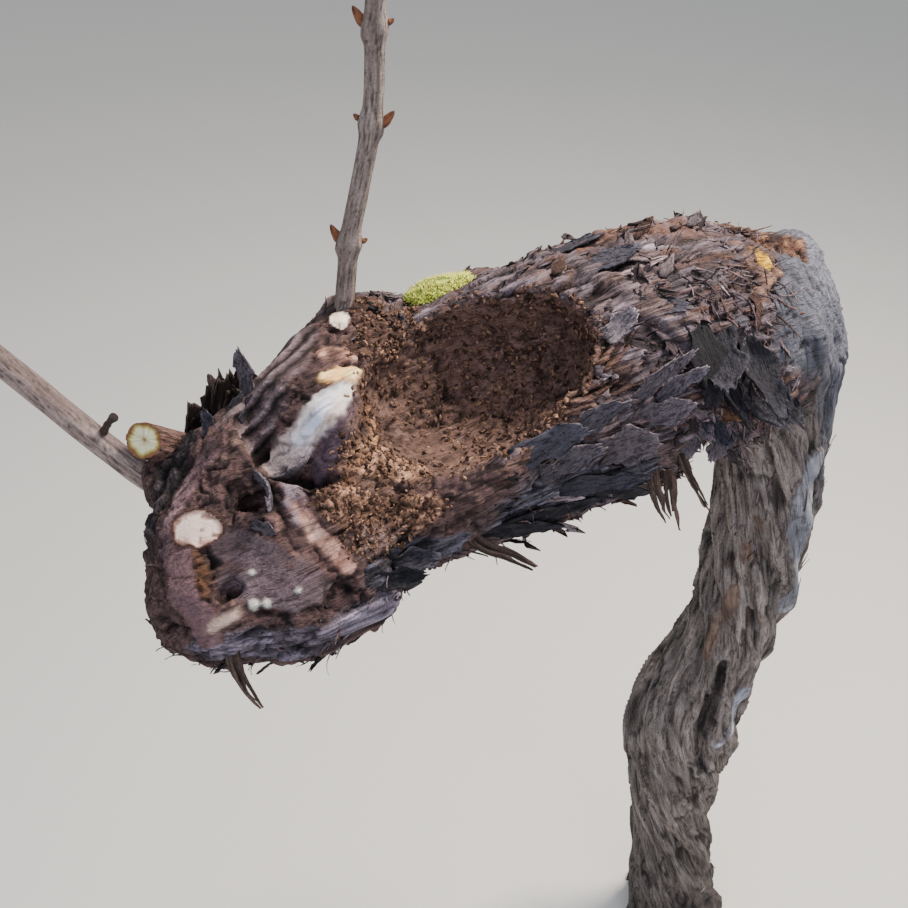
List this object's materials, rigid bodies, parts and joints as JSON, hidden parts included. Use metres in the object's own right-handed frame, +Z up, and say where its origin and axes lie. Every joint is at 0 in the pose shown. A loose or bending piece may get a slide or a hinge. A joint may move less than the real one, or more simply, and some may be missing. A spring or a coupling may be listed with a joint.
{
  "type": "grapevine",
  "caption": "Old pruned grapevine in winter: a twisting trunk, one thick hollowed arm with a swollen pruning head, bare canes, a cut spur and hanging bark, rooted at a flat cut.",
  "frame": {"origin": "middle of the flat cut under the trunk, at ground level", "axes": "+Z up; +X to the right and +Y away as the picture looks at the vine, so the arm runs towards -X and comes forward to -Y"},
  "size_m": [0.6668, 0.2776, 1.1019],
  "materials": {
    "trunk_bark": "stringy grey-brown bark",
    "weathered_wood": "silver-grey weathered wood with bark fibres",
    "arm_bark": "dark flaking bark over rust-brown wood",
    "head_wood": "purple-brown old wood with pale pruning cuts",
    "cane_bark": "smooth lilac-brown cane bark with fine cracks",
    "spur_wood": "reddish bark with a pale greenish cut face",
    "dead_bark": "dry splintered blackish bark",
    "loose_bark": "thin dry fibrous bark strips",
    "moss": "short yellow-green moss"
  },
  "bodies": {
    "root": {"trunk": "trunk_bark", "crown": "weathered_wood", "arm": "arm_bark", "head": "head_wood", "cane_upright": "cane_bark", "cane_side": "cane_bark", "cut_spur": "spur_wood", "bark_plates": "dead_bark", "moss": "moss", "bark_strip_left": "loose_bark", "bark_strip_middle": "loose_bark", "bark_strip_right": "loose_bark", "bark_strip_arm": "loose_bark", "bark_strip_head": "loose_bark"}
  },
  "joints": []
}
